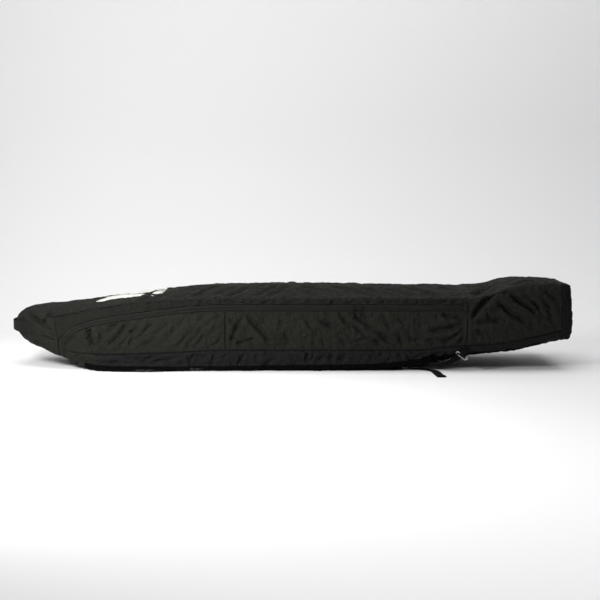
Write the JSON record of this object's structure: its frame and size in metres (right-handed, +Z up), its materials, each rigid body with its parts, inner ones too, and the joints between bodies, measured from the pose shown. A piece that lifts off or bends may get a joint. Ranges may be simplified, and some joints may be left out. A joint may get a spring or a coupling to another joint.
{
  "type": "snowboard bag",
  "caption": "Long padded board bag with a zipped front panel hinged at the tail, nose grab handle and backpack straps.",
  "frame": {"origin": "on the ground under the middle of the bag", "axes": "+X from the nose to the tail, +Z up, near side with the zip sliders at -Y"},
  "size_m": [1.6666, 0.5598, 0.263],
  "materials": {
    "fabric": "black woven nylon with a soft sheen",
    "lower_fabric": "black coated nylon, a little cooler and flatter",
    "lining": "dark grey taffeta",
    "foam": "closed-cell foam sheet",
    "webbing": "black ribbed webbing",
    "padding": "black padded mesh fabric",
    "piping": "black bias piping",
    "zip_tape": "black woven zip tape",
    "zip_coil": "black nylon coil",
    "slider": "black enamelled zinc",
    "nickel": "bright nickel plate",
    "buckle": "black acetal"
  },
  "bodies": {
    "base": {"back_panel": "lower_fabric", "back_foam": "foam", "back_lining": "lining", "side_panel_near_nose": "fabric", "side_panel_near_mid": "fabric", "side_panel_near_tail": "fabric", "side_panel_far_nose": "fabric", "side_panel_far_mid": "fabric", "side_panel_far_tail": "fabric", "lower_band_near": "lower_fabric", "lower_band_far": "lower_fabric", "tail_top_panel": "fabric", "hinge_hem": "fabric", "tail_end_panel": "lower_fabric", "zip_stop_near": "fabric", "zip_stop_far": "fabric", "zip_tape_base_near": "zip_tape", "zip_tape_base_far": "zip_tape", "zip_tape_base_nose": "zip_tape", "zip_coil_base_near": "zip_coil", "zip_coil_base_far": "zip_coil", "harness_yoke": "padding", "lumbar_pad": "padding", "ring_tab_near": "webbing", "ring_tab_far": "webbing", "webbing_lower_near": "webbing", "webbing_lower_far": "webbing", "tail_handle": "webbing"},
    "lid": {"front_panel": "fabric", "front_foam": "foam", "front_lining": "lining", "front_strip_near": "fabric", "front_strip_far": "fabric", "nose_cap": "fabric", "zip_tape_lid_near": "zip_tape", "zip_tape_lid_far": "zip_tape", "zip_tape_lid_nose": "zip_tape", "zip_coil_lid_near": "zip_coil", "zip_coil_lid_far": "zip_coil", "front_piping_near": "piping", "front_piping_far": "piping", "nose_handle": "webbing"},
    "slider_front": {"slider_front": "slider"},
    "slider_rear": {"slider_rear": "slider"},
    "pull_front": {"pull_front": "slider"},
    "pull_rear": {"pull_rear": "slider"},
    "strap_near": {"shoulder_pad_near": "padding", "ladder_lock_near": "buckle", "webbing_tail_near": "webbing"},
    "strap_far": {"shoulder_pad_far": "padding", "ladder_lock_far": "buckle", "webbing_tail_far": "webbing"},
    "ring_near": {"strap_ring_near": "nickel"},
    "ring_far": {"strap_ring_far": "nickel"}
  },
  "joints": [
    {"name": "lid_hinge", "type": "hinge", "parent": "base", "child": "lid", "pos_m": [0.515, 0, 0.2405], "axis": [0, 1, 0], "range_deg": [0, 110]},
    {"name": "slider_front_slide", "type": "slide", "parent": "base", "child": "slider_front", "axis": [-1, 0, 0], "range_m": [0, 0.35]},
    {"name": "slider_rear_slide", "type": "slide", "parent": "base", "child": "slider_rear", "axis": [1, 0, 0], "range_m": [0, 0.28]},
    {"name": "pull_front_swing", "type": "hinge", "parent": "slider_front", "child": "pull_front", "pos_m": [0.189, -0.1862, 0.186], "axis": [-1, 0, 0], "range_deg": [0, 160]},
    {"name": "pull_rear_swing", "type": "hinge", "parent": "slider_rear", "child": "pull_rear", "pos_m": [0.209, -0.1862, 0.186], "axis": [-1, 0, 0], "range_deg": [0, 160]},
    {"name": "strap_near_swing", "type": "hinge", "parent": "base", "child": "strap_near", "pos_m": [-0.149, -0.085, 0.0123], "axis": [0, 1, 0], "range_deg": [0, 12]},
    {"name": "strap_far_swing", "type": "hinge", "parent": "base", "child": "strap_far", "pos_m": [-0.149, 0.085, 0.0123], "axis": [0, 1, 0], "range_deg": [0, 12]},
    {"name": "ring_near_swing", "type": "hinge", "parent": "base", "child": "ring_near", "pos_m": [0.508, -0.1855, 0.05], "axis": [-0.8196, 0, 0.5729], "range_deg": [0, 25]},
    {"name": "ring_far_swing", "type": "hinge", "parent": "base", "child": "ring_far", "pos_m": [0.508, 0.1855, 0.05], "axis": [0.8196, 0, -0.5729], "range_deg": [0, 25]}
  ]
}
